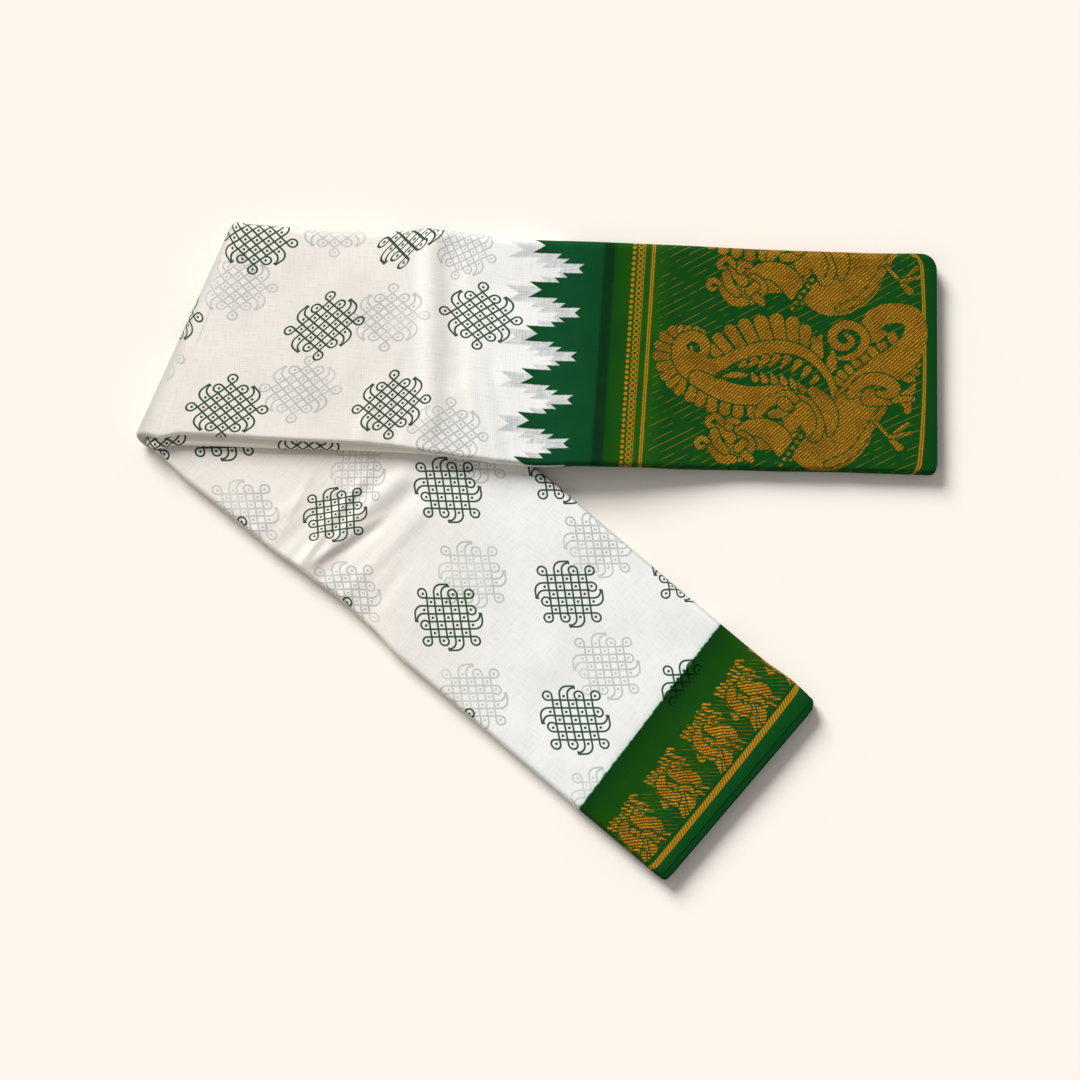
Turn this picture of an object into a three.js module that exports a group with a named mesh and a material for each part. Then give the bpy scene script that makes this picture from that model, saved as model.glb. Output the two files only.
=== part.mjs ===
import * as THREE from 'three';
import { mergeVertices } from 'three/addons/utils/BufferGeometryUtils.js';

// A cotton saree folded flat. Five halvings make a long band of thirty-two plies,
// and the band is turned over once on a slanting fold, so that its upper arm lies
// across its lower arm. Millimetres, +Z up, +X along the upper arm.

// The cloth and the folded band
const clothWidth = 1206; // selvedge to selvedge, which is the band's length
const clothLength = 6100; // end to end, with the blouse length
const plyCount = 32;
const bandWidth = clothLength / plyCount;
const stackHeight = 13; // all plies of one arm, pressed by hand
const wall = 1.2; // the outer ply and those bedded against it
const seam = 0.3;

// The slanting fold
const spineCorner = { x: -240.2, y: 269.8 }; // where the fold meets the spine edge
const upperHeading = THREE.MathUtils.degToRad(-2.3);
const lowerHeading = THREE.MathUtils.degToRad(-40.4);
const upperReach = 570; // spine corner to the wide border's selvedge
const turnRadius = (stackHeight + seam) / 2; // middle ply of the turn
const turnBulge = { spine: 0.88, open: 1.5 }; // how far it stands out, over a half round
const lowerReach = clothWidth - upperReach - Math.PI * turnRadius;
const halfTurn = (upperHeading - lowerHeading) / 2;
const foldHeading = (upperHeading + lowerHeading) / 2;
const foldSlope = Math.tan(halfTurn);

// The woven borders
const wideBorder = 292.5; // from the tips of its teeth to the selvedge
const narrowBorder = 97;

// How the upper arm comes down from the lower one to the surface
const dropStart = 20; // distance past the lower arm's spine edge
const dropEnd = 112;

// Edges of the arms: distance from the fold, outward shift of the spine edge and of
// the open edge, and how far the upper arm's top lip lies behind the one below it
const upperEdges = [
  { along: 0, spine: 0, open: 0, back: 7 },
  { along: 12, spine: -0.5, open: -3.5, back: 7.5 },
  { along: 32, spine: -1.5, open: -4, back: 7 },
  { along: 62, spine: -3.6, open: -4, back: 6 },
  { along: 100, spine: -1.8, open: -4.6, back: 5 },
  { along: 127, spine: 0.6, open: -4.6, back: 3.5 },
  { along: 152, spine: 5, open: -4.2, back: 1.2 },
  { along: 164, spine: 3.8, open: -3.4, back: 0.4 },
  { along: 190, spine: 1.7, open: -1, back: 0 },
  { along: 218, spine: -1.2, open: 1.4, back: 0 },
  { along: 246, spine: -1, open: 2.8, back: 0 },
  { along: 292, spine: -0.7, open: 0.4, back: 0 },
  { along: 345, spine: -0.9, open: -1.2, back: 0 },
  { along: 425, spine: -1.8, open: -3.6, back: 0 },
  { along: 505, spine: -1.4, open: -5.2, back: 0 },
  { along: upperReach, spine: 0, open: -5.6, back: 0 },
];
const lowerEdges = [
  { along: 0, spine: 0, open: 0 },
  { along: 60, spine: 0, open: 2.4 },
  { along: 120, spine: 0, open: 1.4 },
  { along: 190, spine: 0, open: 0.6 },
  { along: 223, spine: 0.4, open: -2.1 },
  { along: 263, spine: 0.2, open: -4.5 },
  { along: 294, spine: 0, open: -2.9 },
  { along: 330, spine: 1.2, open: 0.7 },
  { along: 400, spine: 0.5, open: 0.7 },
  { along: 480, spine: 0, open: 1.1 },
  { along: 556, spine: 0, open: 0.8 },
  { along: 590, spine: 2.2, open: 0.9 },
  { along: lowerReach, spine: 1.5, open: 1 },
];

// Main creases: both ends as distance along and across the band, half width, and lift
const upperCreases = [
  { u0: 153, v0: -6, u1: 157, v1: 192, half: 15, lift: 3.4 },
  { u0: 171, v0: -6, u1: 176, v1: 150, half: 12, lift: -1.7 },
];
const lowerCreases = [
  { u0: 236, v0: 66, u1: 221, v1: 192, half: 12, lift: 2.8 },
  { u0: 252, v0: 66, u1: 238, v1: 192, half: 10, lift: -1.6 },
];

const arms = {
  upper: {
    heading: upperHeading,
    slope: -foldSlope,
    squareBy: 120, // by here a section runs straight across the band
    reach: upperReach,
    corners: { spine: 15, open: 8 }, // rounding of the end's corners, from above
    endSkew: 0.033, // the end runs out towards the open edge
    edges: upperEdges,
    creases: upperCreases,
    stations: [12, 32, 62, 100, 127, 138, 146, 154, 162, 171, 181, 200, 225, 252],
  },
  lower: {
    heading: lowerHeading,
    slope: foldSlope,
    squareBy: 150,
    reach: lowerReach,
    corners: { spine: 9, open: 6 },
    endSkew: 0,
    edges: lowerEdges,
    creases: lowerCreases,
    stations: [30, 60, 100, 140, 180, 205, 219, 228, 237, 246, 255, 268, 294, 330, 400, 460],
  },
};
const wideStations = [320, 370, 425, 480, 520, 548];
const narrowStations = [556, 590, 601];

// Hidden layers from the bottom up: how far each stops short of the selvedge end,
// and of the open edge
const hiddenLayers = [
  { end: 2.2, open: 1.2 },
  { end: 0.2, open: 0.4 },
  { end: 1.6, open: 1.6 },
  { end: 0.8, open: 0.5 },
  { end: 2.6, open: 3.4 },
  { end: 0.4, open: 1.5 },
  { end: 1.8, open: 0.2 },
  { end: 1, open: 1.1 },
];
const endLength = 32; // stretch of an arm over which its end takes its outline
const crossShares = [0.14, 0.3, 0.48, 0.66, 0.84]; // points across a flat side
const lipAngle = 55; // how far round each lip its ply curls, in degrees
const openStagger = 0.3; // share of the open column that the hidden layers step by
const lowerShowing = 5; // layers that show past the top ply at the narrow border
const upperTucked = 1.5; // layers that stay inside the wide border's end

const colours = {
  cotton: 0xece8df,
  innerCotton: 0xe3ddd0,
  green: 0x14602f,
};

function smooth(from, to, value) {
  return THREE.MathUtils.smoothstep(value, from, to);
}

function edgeAt(arm, along, column) {
  const rows = arm.edges;
  let i = 1;
  while (i < rows.length - 1 && rows[i].along < along) i += 1;
  const share = smooth(rows[i - 1].along, rows[i].along, along);
  return THREE.MathUtils.lerp(rows[i - 1][column], rows[i][column], share);
}

// Lift of the top surface by the creases, one for each row
function creaseLift(arm, u, v) {
  let lift = 0;
  for (const crease of arm.creases) {
    const du = crease.u1 - crease.u0;
    const dv = crease.v1 - crease.v0;
    const length = Math.hypot(du, dv);
    const run = ((u - crease.u0) * du + (v - crease.v0) * dv) / length;
    const off = Math.abs((u - crease.u0) * dv - (v - crease.v0) * du) / length;
    const fade = smooth(0, 18, run) * (1 - smooth(length - 12, length + 8, run));
    lift += crease.lift * fade * (1 - smooth(0, crease.half, off));
  }
  return lift;
}

// How far a rounded corner stands back at a distance from the side
function roundingAt(distance, radius) {
  const drop = radius - THREE.MathUtils.clamp(distance, 0, radius);
  return radius - Math.sqrt(radius ** 2 - drop ** 2);
}

// Plan position of a point on an arm, before its height is known
function planOnArm(arm, along, across) {
  const share = across / bandWidth;
  const spine = edgeAt(arm, along, 'spine');
  const open = edgeAt(arm, along, 'open');
  const v = across - spine * (1 - share) + open * share;
  const slant = arm.slope * across * Math.max(0, 1 - along / arm.squareBy);
  const nearEnd = smooth(arm.reach - endLength, arm.reach, along);
  const cut = roundingAt(across, arm.corners.spine) + roundingAt(bandWidth - across, arm.corners.open);
  const u = along + slant + (arm.endSkew * across - cut) * nearEnd;
  const x = spineCorner.x + u * Math.cos(arm.heading) + v * Math.sin(arm.heading);
  const y = spineCorner.y + u * Math.sin(arm.heading) - v * Math.cos(arm.heading);
  return { u, v, x, y };
}

// The height at which the upper arm's underside lies above the surface
function upperBase(x, y) {
  const dx = x - spineCorner.x;
  const dy = y - spineCorner.y;
  const outside = -(dx * Math.sin(lowerHeading) - dy * Math.cos(lowerHeading));
  return (stackHeight + seam) * (1 - smooth(dropStart, dropEnd, outside));
}

// A point of the band. Height is measured through the stack before the turn, so it
// runs down from the top of the upper arm and up from the bottom of the lower one.
function onUpper(along, across, height) {
  const plan = planOnArm(arms.upper, along, across);
  const own = stackHeight - height;
  const lift = creaseLift(arms.upper, plan.u, plan.v) * (own / stackHeight);
  return [plan.x, plan.y, upperBase(plan.x, plan.y) + own + lift];
}

function onLower(along, across, height) {
  const plan = planOnArm(arms.lower, along, across);
  const lift = creaseLift(arms.lower, plan.u, plan.v) * (height / stackHeight);
  return [plan.x, plan.y, height + lift];
}

// On the turn, the distance along is the angle round it, from the lower arm up
function onTurn(angle, across, height) {
  const radius = turnRadius + stackHeight / 2 - height;
  const t = across / Math.cos(halfTurn);
  const bulge = THREE.MathUtils.lerp(turnBulge.spine, turnBulge.open, across / bandWidth);
  const out = -bulge * radius * Math.sin(angle);
  const x = spineCorner.x + t * Math.sin(foldHeading) + out * Math.cos(foldHeading);
  const y = spineCorner.y - t * Math.cos(foldHeading) + out * Math.sin(foldHeading);
  return [x, y, turnRadius + stackHeight / 2 - radius * Math.cos(angle)];
}

// Profile of the outer ply across the band, from the lip at the open edge over one
// side, round the spine, and back to the second lip, which lies back from the first.
// The inset gives its inner side.
function plyProfile(inset, back) {
  const lip = stackHeight / 4;
  const points = [];
  const arc = (x, y, radius, from, to, steps) => {
    for (let i = 0; i <= steps; i += 1) {
      const angle = THREE.MathUtils.degToRad(from + ((to - from) * i) / steps);
      points.push([x + (radius - inset) * Math.cos(angle), y + (radius - inset) * Math.sin(angle)]);
    }
  };
  arc(bandWidth - lip, 3 * lip, lip, -lipAngle, 90, 4);
  const flat = crossShares.map((share) => share * bandWidth);
  points.push(...flat.toReversed().map((across) => [across, stackHeight - inset]));
  arc(2 * lip, 2 * lip, 2 * lip, 90, 270, 6);
  points.push(...flat.map((across) => [across, inset]));
  arc(bandWidth - back - lip, lip, lip, -90, lipAngle, 4);
  return points;
}

// A closed wall between an outer and an inner grid of points
function wallGeometry(outer, inner) {
  const positions = [];
  const triangle = (a, b, c) => positions.push(...a, ...b, ...c);
  const quad = (a, b, c, d) => {
    triangle(a, b, c);
    triangle(a, c, d);
  };
  const rows = outer.length - 1;
  const columns = outer[0].length - 1;
  for (let i = 0; i < rows; i += 1) {
    for (let j = 0; j < columns; j += 1) {
      quad(outer[i][j], outer[i + 1][j], outer[i + 1][j + 1], outer[i][j + 1]);
      quad(inner[i][j], inner[i][j + 1], inner[i + 1][j + 1], inner[i + 1][j]);
    }
    quad(outer[i][0], inner[i][0], inner[i + 1][0], outer[i + 1][0]);
    quad(outer[i][columns], outer[i + 1][columns], inner[i + 1][columns], inner[i][columns]);
  }
  for (let j = 0; j < columns; j += 1) {
    quad(outer[0][j], outer[0][j + 1], inner[0][j + 1], inner[0][j]);
    quad(outer[rows][j], inner[rows][j], inner[rows][j + 1], outer[rows][j + 1]);
  }
  return bodyGeometry(positions);
}

// A closed solid of stacked outlines, each the border of a grid of points. The first
// and last grids close it below and above.
function stackGeometry(grids) {
  const positions = [];
  const triangle = (a, b, c) => positions.push(...a, ...b, ...c);
  const rim = (grid) => {
    const last = grid[0].length - 1;
    const side = grid.map((row) => row[last]);
    const back = grid[grid.length - 1].slice(1, last).reverse();
    const other = grid.map((row) => row[0]).reverse();
    return [...grid[0].slice(1, last), ...side, ...back, ...other];
  };
  for (let k = 0; k < grids.length - 1; k += 1) {
    const below = rim(grids[k]);
    const above = rim(grids[k + 1]);
    for (let i = 0; i < below.length; i += 1) {
      const next = (i + 1) % below.length;
      triangle(below[i], above[i], above[next]);
      triangle(below[i], above[next], below[next]);
    }
  }
  const cap = (grid, below) => {
    for (let i = 0; i < grid.length - 1; i += 1) {
      for (let j = 0; j < grid[0].length - 1; j += 1) {
        const [a, b, c, d] = [grid[i][j], grid[i + 1][j], grid[i + 1][j + 1], grid[i][j + 1]];
        if (below) {
          triangle(a, d, c);
          triangle(a, c, b);
        } else {
          triangle(d, a, b);
          triangle(d, b, c);
        }
      }
    }
  };
  cap(grids[0], true);
  cap(grids[grids.length - 1], false);
  return bodyGeometry(positions);
}

// Shared points are merged, triangles that closed up are left out, and a body that
// came out inside out is turned
function bodyGeometry(positions) {
  const soup = new THREE.BufferGeometry();
  soup.setAttribute('position', new THREE.Float32BufferAttribute(positions, 3));
  const merged = mergeVertices(soup, 1e-3);
  const index = merged.getIndex().array;
  const place = merged.getAttribute('position');
  const corner = [new THREE.Vector3(), new THREE.Vector3(), new THREE.Vector3()];
  const kept = [];
  let volume = 0;
  for (let i = 0; i < index.length; i += 3) {
    const [a, b, c] = [index[i], index[i + 1], index[i + 2]];
    if (a === b || b === c || c === a) continue;
    corner[0].fromBufferAttribute(place, a);
    corner[1].fromBufferAttribute(place, b);
    corner[2].fromBufferAttribute(place, c);
    volume += corner[0].dot(corner[1].cross(corner[2]));
    kept.push(a, b, c);
  }
  if (volume < 0) kept.reverse();
  merged.setIndex(kept);
  merged.computeVertexNormals();
  return merged;
}

function addPiece(name, geometry, colour) {
  const material = new THREE.MeshStandardMaterial({ color: colour, roughness: 0.85, metalness: 0 });
  const mesh = new THREE.Mesh(geometry, material);
  mesh.name = name;
  saree.add(mesh);
}

// The outer ply over one stretch of the band
function plyWall(point, stations, backAt) {
  const grids = [0, wall].map((inset) =>
    stations.map((station) =>
      plyProfile(inset, backAt(station)).map(([across, height]) => point(station, across, height)),
    ),
  );
  return wallGeometry(grids[0], grids[1]);
}

// The hidden plies over one stretch: flat layers inside the outer ply, rounded to the
// spine and to the two lips. Each layer ends at its own place.
function plyStack(point, stations, endAt, backAt) {
  const bed = wall + seam;
  const lip = stackHeight / 4;
  const step = (stackHeight - 2 * bed) / hiddenLayers.length;
  const spineRadius = 2 * lip - bed;
  const lipRadius = lip - bed;
  const grids = [];
  hiddenLayers.forEach((layer, k) => {
    const low = bed + k * step;
    const high = low + step;
    const spineOff = Math.max(Math.abs(low - 2 * lip), Math.abs(high - 2 * lip));
    const spine = 2 * lip - Math.sqrt(Math.max(0, spineRadius ** 2 - spineOff ** 2));
    const lipCentre = high <= 2 * lip ? lip : 3 * lip;
    const lipOff = Math.max(Math.abs(low - lipCentre), Math.abs(high - lipCentre));
    const lipReach = Math.sqrt(Math.max(0, lipRadius ** 2 - lipOff ** 2));
    for (const height of [low, high]) {
      grids.push(
        [...stations, endAt(layer)].map((station) => {
          const back = high <= 2 * lip ? backAt(station) : 0;
          const open = bandWidth - lip - back + lipReach - layer.open * openStagger;
          const flat = crossShares.map((share) => share * bandWidth);
          return [spine, ...flat, open].map((across) => point(station, across, height));
        }),
      );
    }
  });
  return stackGeometry(grids);
}

const saree = new THREE.Group();
const borderStart = arms.upper.reach - wideBorder;
const narrowStart = arms.lower.reach - narrowBorder;
const turnAngles = [0, 22, 45, 68, 90, 112, 135, 158, 180].map(THREE.MathUtils.degToRad);
const upperBack = (along) => edgeAt(arms.upper, along, 'back');
const lowerBack = () => 0;
const turnBack = (angle) => arms.upper.edges[0].back * smooth(0, Math.PI, angle);
const upperStretch = [seam, ...arms.upper.stations];
const lowerStretch = [seam, ...arms.lower.stations];
const wideStretch = [borderStart + seam, ...wideStations, arms.upper.reach];
const narrowStretch = [narrowStart + seam, ...narrowStations, arms.lower.reach - lowerShowing];

addPiece('upper_body', plyWall(onUpper, [...upperStretch, borderStart], upperBack), colours.cotton);
addPiece('wide_border', plyWall(onUpper, wideStretch, upperBack), colours.green);
addPiece('fold_turn', plyWall(onTurn, turnAngles, turnBack), colours.cotton);
addPiece('lower_body', plyWall(onLower, [...lowerStretch, narrowStart], lowerBack), colours.cotton);
addPiece('narrow_border', plyWall(onLower, narrowStretch, lowerBack), colours.green);

const upperLayers = [...upperStretch, borderStart, ...wideStations];
const lowerLayers = [...lowerStretch, narrowStart, ...narrowStations.slice(0, 2)];
const upperEnd = (layer) => arms.upper.reach - upperTucked - layer.end;
const lowerEnd = (layer) => arms.lower.reach - layer.end;
const turnEnd = () => Math.PI;
addPiece('upper_layers', plyStack(onUpper, upperLayers, upperEnd, upperBack), colours.innerCotton);
addPiece('lower_layers', plyStack(onLower, lowerLayers, lowerEnd, lowerBack), colours.innerCotton);
addPiece('turn_layers', plyStack(onTurn, turnAngles.slice(0, -1), turnEnd, turnBack), colours.innerCotton);

export default saree;
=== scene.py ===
# A cotton saree folded into a long band and turned over once, lying flat on a pale floor
import math

import bmesh
import bpy
import numpy as np
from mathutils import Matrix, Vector


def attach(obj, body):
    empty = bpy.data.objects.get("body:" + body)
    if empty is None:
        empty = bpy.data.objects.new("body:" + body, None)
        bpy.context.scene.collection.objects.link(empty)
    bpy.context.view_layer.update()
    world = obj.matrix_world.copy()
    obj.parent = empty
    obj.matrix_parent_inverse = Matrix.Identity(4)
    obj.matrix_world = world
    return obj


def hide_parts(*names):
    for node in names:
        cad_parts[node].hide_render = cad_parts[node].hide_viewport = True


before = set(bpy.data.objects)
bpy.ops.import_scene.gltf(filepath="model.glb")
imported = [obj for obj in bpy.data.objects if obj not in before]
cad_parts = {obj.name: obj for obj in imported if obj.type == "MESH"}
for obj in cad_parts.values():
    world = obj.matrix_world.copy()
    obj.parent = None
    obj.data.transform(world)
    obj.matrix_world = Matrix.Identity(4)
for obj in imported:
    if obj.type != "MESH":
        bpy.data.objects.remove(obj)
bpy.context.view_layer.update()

mm = 0.001  # the tables below are in millimetres

# the cloth and how it is folded, the same sizes as the solids have
fold = {
    "clothWidth": 1206,  # selvedge to selvedge, which is the band's length
    "clothLength": 6100,
    "plies": 32,
    "stack": 13,  # height of one arm
    "seam": 0.3,  # between the two arms
    "corner": (-240.2, 269.8),  # where the slanting fold meets the spine edge
    "upperHeading": -2.3,  # degrees
    "lowerHeading": -40.4,
    "upperReach": 570,  # length of the upper arm, from the slanting fold
    "bulge": (0.88, 1.5),  # how far the turn stands out, at the spine and at the open edge
    "drop": (20, 112),  # where the upper arm comes down beside the lower one
    "endLength": 32,  # the stretch that the rounded corners take up
    "turnBack": 7,  # how far the top lip has fallen back by the end of the turn
    "wideBorder": 292.5,  # how far each border's piece reaches in from the selvedge
    "narrowBorder": 97,
    "lowerShowing": 5,  # inner plies past the outer one at the narrow border
}
band = fold["clothLength"] / fold["plies"]
stack = fold["stack"]
lip = stack / 4
turnRadius = (stack + fold["seam"]) / 2
turnLength = math.pi * turnRadius
lowerReach = fold["clothWidth"] - fold["upperReach"] - turnLength
upperHeading = math.radians(fold["upperHeading"])
lowerHeading = math.radians(fold["lowerHeading"])
halfTurn = (upperHeading - lowerHeading) / 2
foldHeading = (upperHeading + lowerHeading) / 2
wideStart = fold["upperReach"] - fold["wideBorder"]
narrowStart = lowerReach - fold["narrowBorder"]

# each arm: how its plies start at the slanting fold, its corners, and its edges by distance
# from the fold (outward shift of the spine edge and of the open edge, and how far the top
# lip lies behind the one below). Creases are given from u, v to u, v with their half width
# and lift, where u is the distance from the fold and v from the spine edge
upperArm = {
    "heading": upperHeading,
    "slope": -math.tan(halfTurn),
    "squareBy": 120,
    "reach": fold["upperReach"],
    "corners": (15, 8),
    "endSkew": 0.033,
    "edges": [
        (0, 0, 0, 7), (12, -0.5, -3.5, 7.5), (32, -1.5, -4, 7), (62, -3.6, -4, 6),
        (100, -1.8, -4.6, 5), (127, 0.6, -4.6, 3.5), (152, 5, -4.2, 1.2), (164, 3.8, -3.4, 0.4),
        (190, 1.7, -1, 0), (218, -1.2, 1.4, 0), (246, -1, 2.8, 0), (292, -0.7, 0.4, 0),
        (345, -0.9, -1.2, 0), (425, -1.8, -3.6, 0), (505, -1.4, -5.2, 0), (570, 0, -5.6, 0),
    ],
    "creases": [
        (152, -6, 160, 170, 15, 2.8), (170, -6, 181, 130, 14, -1.2),
        (118, 120, 96, 200, 9, 0.9), (136, 100, 128, 200, 7, -0.7), (186, 110, 204, 200, 8, 0.7),
        (204, 96, 226, 200, 9, -0.8), (40, 20, 64, 110, 14, -0.5), (78, 30, 92, 150, 16, 0.5),
        (330, -4, 352, 60, 10, 0.5), (470, 130, 500, 196, 12, -0.5), (400, 120, 380, 200, 12, 0.4),
    ],
}
lowerArm = {
    "heading": lowerHeading,
    "slope": math.tan(halfTurn),
    "squareBy": 150,
    "reach": lowerReach,
    "corners": (9, 6),
    "endSkew": 0,
    "edges": [
        (0, 0, 0, 0), (60, 0, 2.4, 0), (120, 0, 1.4, 0), (190, 0, 0.6, 0), (223, 0.4, -2.1, 0),
        (263, 0.2, -4.5, 0), (294, 0, -2.9, 0), (330, 1.2, 0.7, 0), (400, 0.5, 0.7, 0),
        (480, 0, 1.1, 0), (556, 0, 0.8, 0), (590, 2.2, 0.9, 0), (lowerReach, 1.5, 1, 0),
    ],
    "creases": [
        (236, 66, 221, 192, 12, 2.3), (252, 66, 238, 192, 10, -1.3),
        (268, 70, 262, 196, 10, 0.9), (206, 110, 196, 196, 9, -0.8), (284, 120, 290, 196, 9, -0.6),
        (188, 130, 170, 200, 8, 0.7), (330, 40, 380, 70, 12, 0.4), (430, 120, 470, 190, 14, -0.4),
        (219, 194, 212, 96, 6, 1.5), (225, 194, 219, 104, 5, -1.1), (222, 190, 244, 110, 5, 1.1),
        (227, 190, 250, 116, 5, -0.8), (191, 184, 176, 120, 4, 0.6),
        (545, 20, 560, 150, 12, 0.35), (400, -4, 420, 60, 12, -0.4),
    ],
}
# slow unevenness of the stacked plies: waves along and across (per millimetre), phase, height
unevenness = [
    (0.021, 0.013, 0.4, 0.30), (-0.033, 0.027, 1.9, 0.22), (0.052, -0.041, 3.3, 0.14),
    (0.071, 0.083, 5.1, 0.08), (-0.118, 0.061, 0.9, 0.05), (0.017, 0.094, 2.6, 0.08),
]
# where it fades out at the band's edges, and creases at their two ends
fading = {"edge": (-8, 26), "start": (0, 18), "end": (-12, 8)}


def smooth(low, high, value):
    share = np.clip((value - low) / (high - low), 0, 1)
    return share * share * (3 - 2 * share)


def tableAt(rows, along, column):
    knots = np.array([row[0] for row in rows], float)
    values = np.array([row[column] for row in rows], float)
    place = np.clip(np.searchsorted(knots, along), 1, len(knots) - 1)
    share = smooth(knots[place - 1], knots[place], along)
    return values[place - 1] * (1 - share) + values[place] * share


def liftAt(arm, u, v):
    lift = sum(h * np.sin(a * u + b * v + phase) for a, b, phase, h in unevenness)
    lift = lift * smooth(*fading["edge"], v) * smooth(*fading["edge"], band - v)
    for u0, v0, u1, v1, half, height in arm["creases"]:
        length = math.hypot(u1 - u0, v1 - v0)
        run = ((u - u0) * (u1 - u0) + (v - v0) * (v1 - v0)) / length
        off = np.abs((u - u0) * (v1 - v0) - (v - v0) * (u1 - u0)) / length
        fade = smooth(*fading["start"], run) * (1 - smooth(*fading["end"], run - length))
        lift = lift + height * fade * (1 - smooth(0, half, off))
    return lift


def roundingAt(distance, radius):
    drop = radius - np.clip(distance, 0, radius)
    return radius - np.sqrt(radius ** 2 - drop ** 2)


def planOnArm(arm, along, across):
    share = across / band
    spineShift, openShift = [tableAt(arm["edges"], along, column) for column in (1, 2)]
    v = across - spineShift * (1 - share) + openShift * share
    slant = arm["slope"] * across * np.maximum(0, 1 - along / arm["squareBy"])
    nearEnd = smooth(arm["reach"] - fold["endLength"], arm["reach"], along)
    cut = roundingAt(across, arm["corners"][0]) + roundingAt(band - across, arm["corners"][1])
    u = along + slant + (arm["endSkew"] * across - cut) * nearEnd
    cos, sin = math.cos(arm["heading"]), math.sin(arm["heading"])
    return u, v, fold["corner"][0] + u * cos + v * sin, fold["corner"][1] + u * sin - v * cos


def upperBase(x, y):
    dx, dy = x - fold["corner"][0], y - fold["corner"][1]
    outside = -(dx * math.sin(lowerHeading) - dy * math.cos(lowerHeading))
    return (stack + fold["seam"]) * (1 - smooth(*fold["drop"], outside))


# heights are measured through the stack before the turn, so they run down from the top
# of the upper arm and up from the bottom of the lower one
def onUpper(along, across, height):
    u, v, x, y = planOnArm(upperArm, along, across)
    own = stack - height
    return x, y, upperBase(x, y) + own + liftAt(upperArm, u, v) * own / stack


def onLower(along, across, height):
    u, v, x, y = planOnArm(lowerArm, along, across)
    return x, y, height + liftAt(lowerArm, u, v) * height / stack


def turnReach(across, height):  # how far a ply stands out from the slanting fold
    atSpine, atOpen = fold["bulge"]
    return (atSpine + (atOpen - atSpine) * across / band) * (turnRadius + stack / 2 - height)


def onTurn(angle, across, height):
    radius = turnRadius + stack / 2 - height
    t = across / math.cos(halfTurn)
    out = -turnReach(across, height) * np.sin(angle)
    x = fold["corner"][0] + t * math.sin(foldHeading) + out * math.cos(foldHeading)
    y = fold["corner"][1] - t * math.cos(foldHeading) + out * math.sin(foldHeading)
    return x, y, turnRadius + stack / 2 - radius * np.cos(angle)


# the way round the band: path is 0 near the spine edge, positive over the face that is on
# top of the upper arm, negative over the other face, and goes on round the lip of each
spineRadius = 2 * lip
spineEnd = spineRadius - math.pi * spineRadius
spineMiddle = (spineRadius + spineEnd) / 2
openEnd = spineEnd - (band - lip - spineRadius)  # where the second face's lip begins
lipGap = 0.08  # keeps the two lips off each other


def profileAt(path, inset, back):
    flatEnd = band - back - lip
    radius = lip - inset - lipGap
    first = np.clip((path - flatEnd) / lip, 0, math.pi)
    spine = np.clip((spineRadius - path) / spineRadius, 0, math.pi)
    second = np.clip((openEnd - path) / lip, 0, math.pi)
    firstRun = np.maximum(path - flatEnd - math.pi * lip, 0)
    secondRun = np.maximum(openEnd - path - math.pi * lip, 0)
    faceAcross = np.minimum(path, flatEnd) + radius * np.sin(first) - firstRun
    faceHeight = inset + radius * (1 - np.cos(first))
    spineAcross = spineRadius - (spineRadius - inset) * np.sin(spine)
    spineHeight = spineRadius - (spineRadius - inset) * np.cos(spine)
    backAcross = np.minimum(2 * spineMiddle - path, band - lip)
    backAcross = backAcross + radius * np.sin(second) - secondRun
    backHeight = stack - inset - radius * (1 - np.cos(second))
    onFirst, onSpine = path >= spineRadius, path > spineEnd
    across = np.where(onFirst, faceAcross, np.where(onSpine, spineAcross, backAcross))
    return across, np.where(onFirst, faceHeight, np.where(onSpine, spineHeight, backHeight))


outerPly, innerPly = 0.32, 0.3  # thickness of the shells


# a flat grid of cells is laid over the band: place gives each of its points, in space and in
# the cloth's own coordinates, which become its UV map
def gridSheet(name, columns, rows, place, turned):
    bm = bmesh.new()
    bmesh.ops.create_grid(bm, x_segments=len(columns) - 1, y_segments=len(rows) - 1, size=0.5)
    for face in bm.faces:
        face.smooth = True
    for edge in bm.edges:  # keeps a ply's cut edge from darkening the face beside it
        edge.smooth = not edge.is_boundary
    mesh = bpy.data.meshes.new(name)
    bm.to_mesh(mesh)
    bm.free()
    spots = np.empty(len(mesh.vertices) * 3)
    mesh.vertices.foreach_get("co", spots)
    spots = spots.reshape(-1, 3) + 0.5
    along = np.interp(spots[:, 0] * (len(columns) - 1), range(len(columns)), columns)
    path = np.interp(spots[:, 1] * (len(rows) - 1), range(len(rows)), rows)
    x, y, z, c, w = place(along, path)
    mesh.vertices.foreach_set("co", (np.column_stack([x, y, z]) * mm).ravel())
    corners = np.empty(len(mesh.loops), int)
    mesh.loops.foreach_get("vertex_index", corners)
    uvMap = mesh.uv_layers.new(name="cloth")
    uvMap.uv.foreach_set("vector", (np.column_stack([c, w])[corners] * mm).ravel())
    if turned:
        mesh.flip_normals()
    piece = bpy.data.objects.new(mesh.name, mesh)
    bpy.context.scene.collection.objects.link(piece)
    return piece


def thicken(piece, thickness):
    solid = piece.modifiers.new("ply", "SOLIDIFY")
    solid.thickness, solid.offset = thickness * mm, -1


# the weft doesn't run quite straight: along the band, slope across it, and bow
weftDrift = {
    "upper": [(195, 0, 0), (236, -0.053, 0), (275, -0.046, 0), (300, -0.02, 0), (328, -0.027, 0),
              (400, -0.01, 1), (520, 0.0, 3), (558, 0.0, 4), (570, 0.0, 1)],
    "lower": [(440, 0, 0), (505, 0.056, 0), (525, 0.056, 0), (560, 0.034, 0.5), (600, 0.032, 1),
              (615, 0.01, 0)],
}


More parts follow.
